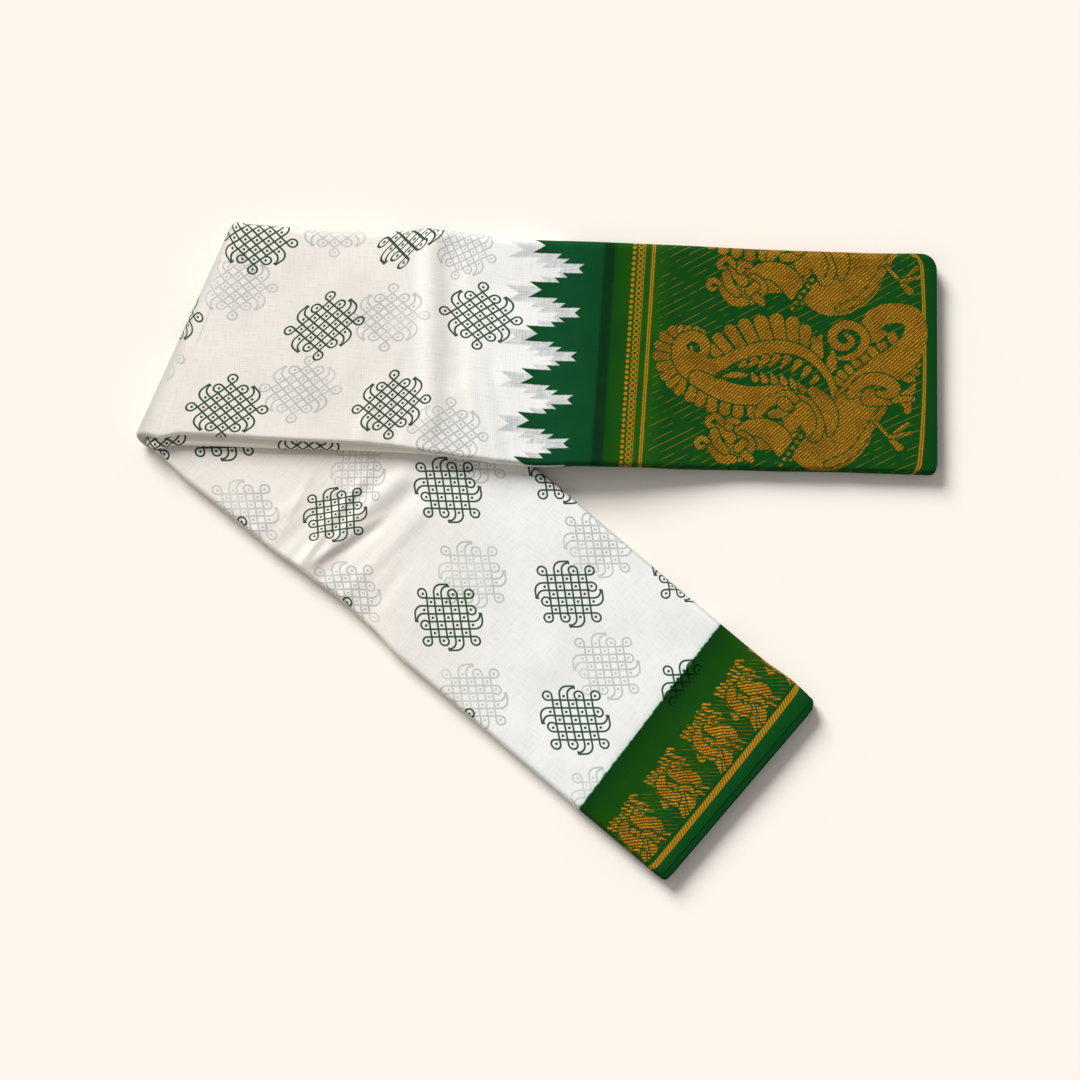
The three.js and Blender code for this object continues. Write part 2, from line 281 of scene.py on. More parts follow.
def clothSpot(stretch, along, across, path):
    arm = upperArm if stretch == "upper" else lowerArm
    side = (np.abs(path - spineMiddle) + spineMiddle - band / 2) / (band / 2)
    drift = tableAt(weftDrift[stretch], along, 1) * side * band / 2
    drift = drift + tableAt(weftDrift[stretch], along, 2) * (1 - side ** 2)
    cloth = along + arm["slope"] * across * np.maximum(0, 1 - along / arm["squareBy"]) - drift
    return cloth if stretch == "upper" else -turnLength - cloth


def placer(stretch, inset=0.0, raised=0.0):
    def place(along, path):
        if stretch == "turn":
            back = fold["turnBack"] * smooth(0, math.pi, along)
            across, height = profileAt(path, inset - raised, back)
            run = np.maximum(turnRadius, turnReach(across, height))
            cloth = (along - math.pi) * run + upperArm["slope"] * across
            return *onTurn(along, across, height), cloth, path
        onArm = onUpper if stretch == "upper" else onLower
        back = tableAt(upperArm["edges"], along, 3) if stretch == "upper" else 0 * along
        across, height = profileAt(path, inset - raised, back)
        return *onArm(along, across, height), clothSpot(stretch, along, across, path), path
    return place


def spaced(*parts):  # values from one knot to the next, in so many steps
    values = [np.linspace(low, high, steps + 1)[:-1] for low, high, steps in parts]
    return np.concatenate([*values, [parts[-1][1]]])


lipLength = math.pi * lip
lipStart = band - lip - 8  # the furthest back that the first face's lip begins
runLength = 22  # how far the outer ply runs back in between the lips
# where little light reaches between the lips: path past the first face and the second one
lipInside = (band - lip + lipLength * 0.8, openEnd - lipLength - 5)
# the way round the section, with finer steps where it bends
ways = spaced(
    (openEnd - lipLength - runLength, openEnd - lipLength, 4),
    (openEnd - lipLength, openEnd, 9),
    (openEnd, spineEnd, 62),
    (spineEnd, spineRadius, 18),
    (spineRadius, lipStart, 58),
    (lipStart, band - lip + lipLength, 17),
    (band - lip + lipLength, band - lip + lipLength + runLength, 4),
)
lowerEnd = lowerReach - fold["lowerShowing"]
outerPlies = [  # piece, CAD node, stretch, from, to, steps, slot
    ("upperBody", "upper_body", "upper", 0, wideStart, 108, "printed_cotton"),
    ("wideBorder", "wide_border", "upper", wideStart, fold["upperReach"], 112, "green_border"),
    ("foldTurn", "fold_turn", "turn", 0, math.pi, 26, "printed_cotton"),
    ("lowerBody", "lower_body", "lower", 0, narrowStart, 196, "printed_cotton"),
    ("narrowBorder", "narrow_border", "lower", narrowStart, lowerEnd, 36, "green_border"),
]
pieces = {}
for name, node, stretch, start, end, steps, slot in outerPlies:
    alongs = np.linspace(start, end, steps + 1)
    piece = gridSheet(name, alongs, ways, placer(stretch), stretch != "lower")
    thicken(piece, outerPly)
    length = (end - start) * (turnRadius if stretch == "turn" else 1)
    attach(piece, "root")
    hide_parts(node)
    pieces[name] = (piece, length)
print("outer plies laid")


# the plies inside, as nested loops: each runs over one face, round a lip, back through the
# middle, round the fold there, and over the other face the same way
def loopAt(inset, steps=30):
    radius, middle, top = lip - inset - lipGap, spineRadius, stack - inset
    inner, outer = max(0.12, lip - radius - lipGap), spineRadius - inset
    flat = np.linspace(spineRadius, band - lip, steps)
    bends = [(math.sin(t), math.cos(t)) for t in np.linspace(0, math.pi, 10)]
    points = [(a, inset) for a in flat]
    points += [(band - lip + radius * sin, inset + radius * (1 - cos)) for sin, cos in bends]
    points += [(a, middle - inner) for a in flat[::-1]]
    points += [(spineRadius - inner * sin, middle - inner * cos) for sin, cos in bends]
    points += [(a, middle + inner) for a in flat]
    points += [(band - lip + radius * sin, top - radius * (1 + cos)) for sin, cos in bends]
    points += [(a, top) for a in flat[::-1]]
    points += [(spineRadius - outer * sin, middle + outer * cos) for sin, cos in bends]
    return np.array(points + points[:1])


# for each arm: the node that its inner plies replace, and how far short of the cloth's end
# each loop stops, from the outermost in
innerPlies = {
    "spacing": 0.41,
    "length": 46,  # how much of an arm they fill, from its end
    "inTurn": (0.45, 0.9),  # how deep the two in the turn lie
    "upper": {"node": "upper_layers", "stops": [1.4, 2.6, 0.9, 3.1, 1.8, 2.2, 3.6]},
    "lower": {"node": "lower_layers", "stops": [0.2, 1.8, 0.6, 2.9, 1.2, 2.4, 0.8]},
}


def joined(name, parts):  # several sheets as one mesh, welded where a loop closes
    bm = bmesh.new()
    for part in parts:
        bm.from_mesh(part.data)
    bmesh.ops.remove_doubles(bm, verts=bm.verts, dist=0.00001)
    mesh = bpy.data.meshes.new(name)
    bm.to_mesh(mesh)
    bm.free()
    piece = bpy.data.objects.new(name, mesh)
    bpy.context.scene.collection.objects.link(piece)
    for part in parts:
        bpy.data.meshes.remove(part.data)
    return piece


def innerStack(stretch):
    facts = innerPlies[stretch]
    arm = upperArm if stretch == "upper" else lowerArm
    onArm = onUpper if stretch == "upper" else onLower
    parts = []
    for k, stop in enumerate(facts["stops"]):
        loop = loopAt((k + 1) * innerPlies["spacing"])
        reach = arm["reach"] - stop

        def place(along, row):
            across = np.interp(row, range(len(loop)), loop[:, 0])
            height = np.interp(row, range(len(loop)), loop[:, 1])
            cloth = along if stretch == "upper" else -turnLength - along
            return *onArm(along, across, height), cloth, across
        columns = np.linspace(arm["reach"] - innerPlies["length"], reach, 13)
        parts.append(gridSheet("ply", columns, np.arange(len(loop)), place, stretch == "upper"))
    piece = joined(stretch + "Plies", parts)
    thicken(piece, innerPly)
    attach(piece, "root")
    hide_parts(facts["node"])
    return piece


upperPlies = innerStack("upper")
lowerPlies = innerStack("lower")

turnAngles = np.linspace(0, math.pi, 17)
turnParts = [gridSheet("ply", turnAngles, ways[::2], placer("turn", inset), True)
             for inset in innerPlies["inTurn"]]
turnPlies = joined("turnPlies", turnParts)
thicken(turnPlies, innerPly)
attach(turnPlies, "root")
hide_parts("turn_layers")
print("inner plies laid")


# Gold figures woven into the borders, drawn as strokes: each is a row of (distance from the
# fold, distance from the spine edge, half width) in millimetres. Later ones lie over
# earlier ones, with a line of green round them
largeBird = {
    "petals": [
        [(422, 136, 4.5), (423, 143, 5)], [(411, 136, 4.5), (411, 143, 5)],
        [(401, 134, 4.5), (400, 141, 5)], [(390, 131, 4.5), (389, 139, 5)],
        [(382, 126, 4.5), (379, 134, 5)], [(373, 123, 4), (371, 130, 5)],
        [(365, 116, 4), (362, 125, 4.8)], [(360, 113, 4), (355, 119, 4.6)],
        [(358, 107, 4), (350, 113, 4.4)], [(356, 101, 4), (346, 105, 4.4)],
        [(356, 95, 4), (343, 96, 4.6)], [(358, 90, 4), (344, 87, 4.6)],
        [(359, 84, 4), (348, 79, 4.8)], [(363, 80, 4), (355, 74, 4.8)],
        [(366, 79, 3), (362, 73, 4.6)], [(369, 78, 3), (368, 73, 4.6)],
        [(373, 78, 3), (374, 73, 4)], [(377, 80, 3), (379, 75, 3.6)],
        [(396, 102, 3), (385, 98, 3.6)], [(399, 99, 4), (387, 88, 4.6)],
        [(407, 96, 4.5), (392, 79, 5)], [(416, 92, 4.5), (402, 72, 5.4)],
        [(425, 88, 5), (414, 67, 6)], [(435, 85, 5.5), (427, 64, 6.4)],
        [(446, 83, 5.5), (440, 62, 6.4)], [(456, 85, 5.5), (453, 64, 6.2)],
        [(465, 89, 5), (464, 70, 5.4)], [(470, 93, 4), (471, 77, 2.5)],
        [(476, 92, 4), (474, 85, 5.5), (477, 74, 1.5)],
        [(485, 104, 4), (487, 96, 5), (487, 87, 1.2)], [(494, 115, 3), (490, 112, 3.4)],
        [(499, 111, 3), (494, 107, 3.6)], [(504, 107, 3), (500, 102, 3.8)],
        [(511, 102, 3.5), (506, 97, 4)], [(517, 97, 3.5), (512, 91, 4)],
        [(524, 92, 4), (519, 86, 4.2)], [(530, 86, 4), (527, 81, 4.4)],
        [(538, 79, 4), (535, 73, 4.4)], [(548, 90, 4), (554, 89, 3.4)],
        [(548, 97, 4), (555, 97, 3.6)], [(547, 103, 4), (554, 104, 3.6)],
        [(543, 107, 4), (551, 111, 3.6)],
    ],
    "plumes": [
        [(487, 128, 8), (480, 112, 8), (470, 98, 7.5), (458, 89, 7), (444, 86, 7), (429, 88, 7.5),
         (416, 93, 8), (403, 101, 9), (390, 107, 10.5), (377, 107, 12), (367, 101, 10),
         (361, 91, 7), (363, 82, 5.5), (371, 78, 5), (380, 82, 5), (382, 90, 4.4), (377, 95, 3.6),
         (371, 93, 3), (371, 88, 2)],
        [(376, 114, 7), (389, 120, 8.5), (404, 126, 9), (421, 128, 8.5), (436, 126, 8),
         (449, 122, 7.5), (461, 119, 6)],
        [(498, 128, 8), (510, 116, 11), (524, 106, 13), (539, 96, 14), (550, 82, 11), (554, 68, 9),
         (550, 56, 9), (536, 53, 9), (523, 57, 9.5), (518, 67, 9), (522, 74, 6), (528, 71, 3.5)],
        [(492, 94, 2), (503, 92, 3.4), (511, 85, 4), (513.5, 75, 4.2), (507, 66.5, 4.2),
         (495, 64.5, 4.4), (486.5, 72, 4.4), (489, 82, 4.2), (498, 84, 3.4), (502.5, 78, 3),
         (498, 73.5, 2.4)],
    ],
    "leaf": [
        [(391, 113, 0.6), (402, 109, 4.5), (417, 105, 8.5), (432, 104, 11), (447, 104, 13),
         (460, 108, 13), (472, 118, 11), (479, 129, 8)],
    ],
    "leafPetals": [
        [(397, 112, 0.8), (406, 110.5, 3.2), (416, 110, 1.9)], [(410, 105, 1), (414, 100.5, 3.3)],
        [(418, 103.5, 1.4), (423, 97.5, 3.9)], [(427, 102.5, 1.6), (432, 95.5, 4.1)],
        [(436, 102.5, 1.6), (441, 94.5, 4.1)], [(445, 103.5, 1.6), (450, 95.5, 4.1)],
        [(454, 106, 1.6), (459, 98.5, 4.1)], [(462, 110.5, 1.6), (467, 104, 3.9)],
        [(469, 117, 1.4), (474, 111.5, 3.7)], [(421, 108, 1.2), (424, 113.5, 3.5)],
        [(429, 108, 1.4), (432, 114, 3.7)], [(437, 108, 1.4), (440, 114.5, 3.7)],
        [(445, 109, 1.4), (448, 115.5, 3.7)], [(453, 112, 1.4), (456, 118, 3.7)],
        [(460, 116.5, 1.4), (464, 122, 3.5)],
    ],
    "body": [
        [(430, 163, 12), (443, 162, 13), (457, 167, 17)],
        [(466, 160, 19), (480, 167, 26), (494, 159, 26), (503, 147, 22), (510, 135, 17),
         (517, 129, 12)],
        [(486, 186, 3.4), (504, 177, 3.6), (515, 162, 3.6), (523, 148, 3.6), (531, 135, 3)],
        [(461, 130, 5), (471, 139, 8), (474, 150, 9), (474, 160, 7)],
        [(472, 123, 5), (483, 134, 7), (488, 148, 6), (487, 159, 3)],
        [(455, 153, 6), (457, 143, 10), (463, 141, 9), (469, 150, 7), (468, 158, 5)],
        [(524, 148, 2), (532, 157, 2), (541, 167, 3), (544, 170, 3.6)],
        [(536, 161, 2), (549, 149, 2.2)], [(536, 161, 2), (551, 157, 2.2)],
        [(519, 127, 8), (531, 128, 6), (540, 128, 5)],
        [(540, 128, 4.5), (550, 121, 3.5), (553, 115, 2)],
        [(540, 128, 4.5), (548, 131, 3.5), (549, 138, 3)], [(540, 128, 4), (552, 127, 2.5)],
        [(503, 125, 4), (508, 117, 5), (518, 111, 5.6), (530, 112, 6), (539, 118, 5), (535, 124, 4),
         (526, 123, 3)],
    ],
    "curls": [
        [(457, 130, 4), (451, 127, 5), (442, 130, 5), (435, 134, 5), (429, 141, 4.4), (428, 147, 3),
         (432, 147, 2)],
        [(454, 137, 4), (446, 142, 4.6), (439, 143, 4)], [(448, 133, 5.5), (451, 136, 5)],
    ],
    "neck": [
        [(413, 157, 5), (422, 155, 7), (434, 156, 9), (444, 163, 10), (450, 172, 9)],
    ],
    "collar": [
        [(464, 160, 3), (455, 174, 3.2), (446, 188, 3)],
    ],
    "beads": [[(u, v, 2.4)] * 2 for u, v in (
        (463, 162), (460, 167), (457, 172), (453.5, 177), (450.5, 182), (447.5, 187))],
    "head": [
        [(415, 164, 6), (419, 171, 8), (412, 177, 9)], [(410, 171, 9), (410, 172, 9)],
        [(394, 156, 4), (401, 159, 5), (406, 165, 5)],
        [(389, 166, 4.2), (392, 174, 5), (399, 182, 5), (408, 183, 4)],
        [(392, 159, 4), (395, 169, 4.4), (402, 176, 3.5)],
        [(399, 152, 3), (393, 146, 3), (387, 149, 3), (387, 154, 2.6), (391, 154, 2)],
        [(404, 155, 4), (405, 150, 3.4), (411, 151, 3)],
        [(387, 168, 2.6), (382, 165, 2.8), (378, 168, 2.8), (380, 173, 2.6), (384, 172, 2)],
        [(417, 178, 4), (422, 182, 3.6), (424, 185, 1.6)], [(416, 169, 4.5), (412, 174, 4)],
    ],
}
# one bird of the row on the narrow border
smallBird = {
    "crest": [
        [(557, 20, 2), (545, 21.5, 1.5)], [(557, 22, 2), (544, 25, 1.5)],
        [(558, 25, 2), (545, 29, 1.6)], [(559, 27, 2), (547, 32.5, 1.5)],
        [(560, 14, 1.5), (553, 17, 1.9), (547, 19, 2.2), (544.5, 16.5, 2), (548, 13.5, 1.7)],
    ],
    "tail": [
        [(575, 36, 3.5), (582, 42, 4.6), (589, 47, 3.4)],
        [(577, 32, 3), (585, 37, 4), (590, 42, 3)], [(582, 46, 3), (590, 52, 1)],
        [(571, 53, 3.4), (567, 52, 2.6)], [(560, 48, 3), (571, 47, 4), (578, 47, 2)],
    ],
    "plume": [
        [(556, 44, 3), (546, 48.5, 1.8)], [(552, 42, 3.5), (545, 44, 1.8)],
        [(553, 38, 3.5), (545.5, 39, 1.8)], [(554, 35, 3), (548, 34.5, 1.8)],
        [(555, 37, 3), (558, 42, 5), (566, 45, 5), (574, 42, 4)],
    ],
    "body": [
        [(558, 29, 4), (566, 27, 6), (574, 24, 7.5), (580, 26, 6)], [(578, 30, 4), (584, 31, 3)],
        [(571, 36, 2.6), (575, 31, 3), (582, 30, 2)], [(584, 23, 2), (590, 20, 1.1)],
        [(584, 28, 2), (591, 26, 1.2)], [(563, 38, 2.4), (568, 36, 2.2), (570, 39, 1.6)],
    ],
    "head": [
        [(557, 23, 4.2), (559, 21, 4.4)], [(561, 18, 2), (567, 14.5, 0.9)],
        [(558, 22, 1.3), (558.2, 22, 1.3)],
    ],
}
figures = {
    "outline": 1.2,  # width of the green line
    "bare": ("leaf", "collar"),  # strokes that are green, with the next ones lying on them
    "raised": 0.1,  # above the border
    "margin": 4,  # how far from a stroke the depth is worked out
    "large": {
        "rows": largeBird,
        "places": [(0, 0), (5, -135.5)],
        "cell": 0.85,
        "u": (334, 566),
        "v": (-12, 197),
    },
    "small": {
        "rows": smallBird,
        "places": [(2, v) for v in (-47.4, -0.9, 43.6, 91, 139.2)],
        "cell": 0.7,
        "u": (540, 594),
        "v": (-10, 196),
    },
}


def alongCurve(stroke, parts=4):  # points on a smooth curve through a stroke's own
    if len(stroke) < 3:
        return np.array(stroke, float)
    knots = np.array([stroke[0], *stroke, stroke[-1]], float)[:, None]
    share = np.linspace(0, 1, parts, endpoint=False)[:, None]
    before, start, end, after = knots[:-3], knots[1:-2], knots[2:-1], knots[3:]
    curve = start + share * (end - before) / 2
    curve = curve + share ** 2 * (before - 2.5 * start + 2 * end - after / 2)
    curve = curve + share ** 3 * (1.5 * (start - end) + (after - before) / 2)
    return np.vstack([curve.reshape(-1, 3), knots[-1]])


def outsideStroke(points, u, v):  # how far places lie outside a stroke, below 0 in it
    out = np.full(u.shape, np.inf)
    for (u0, v0, r0), (u1, v1, r1) in zip(points, points[1:]):
        du, dv = u1 - u0, v1 - v0
        share = ((u - u0) * du + (v - v0) * dv) / (du * du + dv * dv + 1e-9)
        share = np.clip(share, 0, 1)
        away = np.hypot(u - u0 - share * du, v - v0 - share * dv)
        out = np.minimum(out, away - r0 - share * (r1 - r0))
    return out


def drawFigure(facts, u, v):
    # how far inside the gold each point is, below 0 on the green
    rim = figures["outline"] / 2
    depth = np.full(u.shape, -float(figures["margin"]))
    for shift in facts["places"]:
        for part, strokes in facts["rows"].items():
            for stroke in strokes:
                points = alongCurve(stroke) + np.array([*shift, 0])
                reach = points[:, 2].max() + figures["margin"]
                low, high = points.min(axis=0) - reach, points.max(axis=0) + reach
                close = (u > low[0]) & (u < high[0]) & (v > low[1]) & (v < high[1])
                if close.any():
                    out = outsideStroke(points, u[close], v[close])
                    left = np.minimum(depth[close], out - rim)
                    gold = np.maximum(-out - rim, left)
                    depth[close] = left if part in figures["bare"] else gold
    return depth


def figureSheet(name, facts, stretch):
    # a fine grid just above the border, which carries the depth for its material
    columns, rows = [np.linspace(low, high, round((high - low) / facts["cell"]) + 1)
                     for low, high in (facts["u"], facts["v"])]
    found = {}

    def place(along, v):
        path = 2 * spineMiddle - v if stretch == "lower" else v
        x, y, z, cloth, path = placer(stretch, 0, figures["raised"])(along, path)
        onCloth = -turnLength - cloth if stretch == "lower" else along
        found["depth"] = drawFigure(facts, onCloth, v)
        return x, y, z, cloth, path

    piece = gridSheet(name, columns, rows, place, True)
    depths = piece.data.attributes.new("goldDepth", "FLOAT", "POINT")
    depths.data.foreach_set("value", found["depth"])
    bm = bmesh.new()
    bm.from_mesh(piece.data)
    depth = bm.verts.layers.float["goldDepth"]
    bare = [face for face in bm.faces if max(vert[depth] for vert in face.verts) < -1]
    bmesh.ops.delete(bm, geom=bare, context="FACES")
    bm.to_mesh(piece.data)
    bm.free()
    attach(piece, "root")
    return piece


largeBirds = figureSheet("largeBirds", figures["large"], "upper")
smallBirds = figureSheet("smallBirds", figures["small"], "lower")
print("gold figures woven")


# Camera, light and floor

view = {
    "centre": (2.1, 8.7, 0),
    "elevation": 80,
    "width": 886.5,  # of the whole picture, at the centre
    "distance": 6000,
    "sensor": 36,
}
light = {
    "from": (-0.8, 1.25, 1),  # towards the upper left
    "softness": 30,  # degrees
    "strength": 3.82,
    "fill": 0.34,
}
scene = bpy.context.scene
scene.view_settings.view_transform = "Standard"
tilt = math.radians(view["elevation"])
toCamera = Vector((0, -math.cos(tilt), math.sin(tilt)))
camera = bpy.data.objects.new("camera", bpy.data.cameras.new("camera"))
camera.data.sensor_width = view["sensor"]
camera.data.lens = view["sensor"] * view["distance"] / view["width"]
camera.location = (Vector(view["centre"]) + toCamera * view["distance"]) * mm
camera.rotation_euler = (math.pi / 2 - tilt, 0, 0)
camera.data.clip_end = 50
scene.collection.objects.link(camera)
scene.camera = camera

lamp = bpy.data.objects.new("windowLight", bpy.data.lights.new("windowLight", "SUN"))
lamp.data.energy, lamp.data.angle = light["strength"], math.radians(light["softness"])
lamp.rotation_euler = Vector(light["from"]).to_track_quat("Z", "Y").to_euler()
scene.collection.objects.link(lamp)

world = bpy.data.worlds.new("room")
world.use_nodes = True
world.node_tree.nodes["Background"].inputs["Color"].default_value = (1, 0.985, 0.96, 1)
world.node_tree.nodes["Background"].inputs["Strength"].default_value = light["fill"]
scene.world = world


def linear(red, green, blue):  # a colour as picked from a screen, made linear
    parts = [c / 255 for c in (red, green, blue)]
    return (*[c / 12.92 if c <= 0.04045 else ((c + 0.055) / 1.055) ** 2.4 for c in parts], 1)


bm = bmesh.new()
bmesh.ops.create_grid(bm, x_segments=1, y_segments=1, size=6)  # 12 m across
floorMesh = bpy.data.meshes.new("floor")
bm.to_mesh(floorMesh)
bm.free()
floor = bpy.data.objects.new("floor", floorMesh)
scene.collection.objects.link(floor)
floorMaterial = bpy.data.materials.new("paleFloor")
floorMaterial.use_nodes = True
floorShader = floorMaterial.node_tree.nodes["Principled BSDF"]
floorShader.inputs["Base Color"].default_value = linear(252, 245, 236)
floorShader.inputs["Roughness"].default_value = 0.9
floorMesh.materials.append(floorMaterial)
print("camera, light and floor set")


# Materials, worked out from the cloth's own map in millimetres

# the printed figure is a lattice of lines set cornerwise, with loops at its tips and hooks
# and loops beside them. Its sizes are in cells, apart from the cell's own and the dot's
kolam = {
    "cell": (9.6, 8.35),  # along the band and across it
    "line": 0.125,  # half the width of a line
    "soft": 0.03,  # how soft its edge is
    "dot": (0.9, 1.4),  # where a dot's edge begins and ends
    "dotReach": 0.9,  # how far past the lattice there are dots
    "half": 2.5,  # lines on each side of the middle
    "loop": 0.57,  # radius of the loops
    "outerHook": (3.2, 0.42, 1.08),  # centre and radius
    "innerHook": (3.1, -0.45, 0.98),
    "hookTip": (4.08, -0.5, 0.6),  # centre, and how flat it is
}
# where the figures lie: centres on each arm, as distance from the fold and from the spine
# edge, and how far creases have pushed the figure askew. Those past the edges show only a
# tip. In some sets creases also slant the rows and take up part of the figure's length
printed = {
    "dark": [
        {"row": 0, "squeeze": 1,
         "upper": [(10, 14.5, 0.1), (196, 70.5, 0.06), (-8.2, 159.4, 0.15), (-65.2, 83.2, 0),
                   (60, -192, 0), (-66, -196, 0)],
         "lower": [(270.8, 62.1, 0), (340, 140.9, 0), (402.5, 62.4, 0), (472.7, 137.3, 0),
                   (332.4, -11.4, 0), (463.8, -14.6, 0), (536.5, 58, 0), (159.2, 214.8, 0),
                   (268.6, 215, 0), (404.5, 215, 0), (95.2, 140.9, 0)]},
        {"row": 0.17, "squeeze": 1.06,
         "upper": [(68.5, 84.8, 0.15), (126.5, 151.8, 0.05)],
         "lower": []},
        {"row": 0.4, "squeeze": 1.2, "upper": [(143.2, -0.7, 0.4)], "lower": []},
        {"row": 0.04, "squeeze": 1.27, "upper": [], "lower": [(213.9, 137.2, 0.05)]},
    ],
    "faint": [
        {"row": 0, "squeeze": 1,
         "upper": [(-4.8, 54.6, 0.1), (121.3, 77.1, 0.1), (51.3, 140.5, 0.25), (74, -5, 0),
                   (174, 172, 0.05), (-78.7, 119, 0)],
         "lower": [(155.9, 182.2, 0), (264.3, 183.1, 0), (331.6, 102, 0), (398.3, 177.2, 0),
                   (393.6, 16.4, 0), (464.6, 87.3, 0), (531, 173, 0), (265, 23, 0)]},
        {"row": -0.25, "squeeze": 1.25,
         "upper": [(181, 14.6, 0.3)],
         "lower": [(205.7, 98.8, 0)]},
    ],
}
# teeth where the white and the wide border are woven together, each a pile of narrower and
# longer steps (how far it reaches, half its width, half the width of its notch, the slope
# of its barbs)
teeth = {
    "start": 232.4,  # distance from the fold
    "centre": 24.3,  # of the first one, from the spine edge
    "half": 18.6,  # half the spacing
    "steps": [(20.3, 12.0, 7.8, 0.975), (26.8, 7.9, 4.3, 1.24), (39.6, 3.9, 0, 1.14)],
    "valley": (12.1, 1.6),  # half its width, and its slope
    "through": (17.5, 4),  # how far the ply below lies off
}
# the gold figures' thread: its ribs' slant and width, and how bright each kind of bird is
thread = {
    "slant": 1.0,
    "rib": {"large": 3.3, "small": 3.5},
    "shine": {"large": 1.0, "small": 1.2},
    "roughness": 0.45,
    "metal": 0.25,
}
# lines of gold thread, by their distance from the fold
chain = {"beads": 318.8, "rings": 324.2, "half": 2.3, "edge": 327.6, "lines": (334.6, 556.8)}
rope = {"at": 597.5, "half": 2.5, "twist": (2.7, 4.2)}
dashes = {
    "wide": {"slope": 0.6, "spacing": 7.0, "half": 0.2, "reach": (340, 555), "strength": 0.62},
    "narrow": {"slope": -0.8, "spacing": 3.9, "half": 0.3, "reach": (552, 592), "strength": 0.3},
}
# plain cotton: the fineness of its unevenness, where that shows, and how dark it gets
cotton = {
    "coolFrom": (-0.16, 0.02),  # metres along X, from warm to cool
    "wobble": 0.35,
    "slubs": 1.1,
    "drawnOut": ((0.06, 1, 1), (1, 0.06, 1)),
    "slubShows": (0.9, 1.35),
    "slubTone": 0.9,
    "mottling": 0.021,
    "mottlingShows": (0.42, 0.72),
    "mottlingTone": 0.93,
    "roughness": 0.85,
    "sheen": 0.03,
    "relief": (0.35, 0.00025),  # strength, and height in metres
}
# painted shade round the spine edge and the turn: how much less at the spine edge, how far off that
# shows, and its tone
paintedFoldShade = {"spine": 4, "reach": (12.5, 3), "tone": 0.55}
colours = {
    "warm": linear(239, 233, 224),
    "cool": linear(241, 241, 238),
    # painted light for the lips of the upper arm's open edge, which lie in shade
    "lip": linear(255, 247, 232),
    "ink": linear(2, 62, 32),
    "faint": linear(172, 176, 173),
    "through": linear(184, 187, 187),
    "stain": linear(150, 205, 175),
    "gold": linear(182, 124, 22),
    "goldDeep": linear(70, 58, 10),
    "goldBright": linear(232, 176, 66),
    "deepGreen": linear(10, 62, 30),
}
# the borders' green by distance from the fold
grounds = {
    "wide": {
        "span": (230, 572),
        "rows": [(230, (14, 70, 32)), (262, (17, 78, 44)), (293, (14, 72, 36)),
                 (295.5, (11, 46, 22)), (302.5, (12, 48, 22)), (304, (18, 72, 14)),
                 (318, (30, 78, 10)), (336, (34, 86, 12)), (352, (20, 72, 16)),
                 (420, (14, 70, 22)), (556, (18, 74, 18)), (570, (12, 62, 20))],
    },
    "narrow": {
        "span": (500, 616),
        "start": 517.5,  # where the green begins
        "rows": [(505, (18, 84, 36)), (516, (12, 56, 14)), (534, (24, 72, 10)),
                 (560, (28, 78, 12)), (590, (18, 72, 18)), (600, (14, 76, 28)),
                 (615, (10, 62, 22))],
    },
}


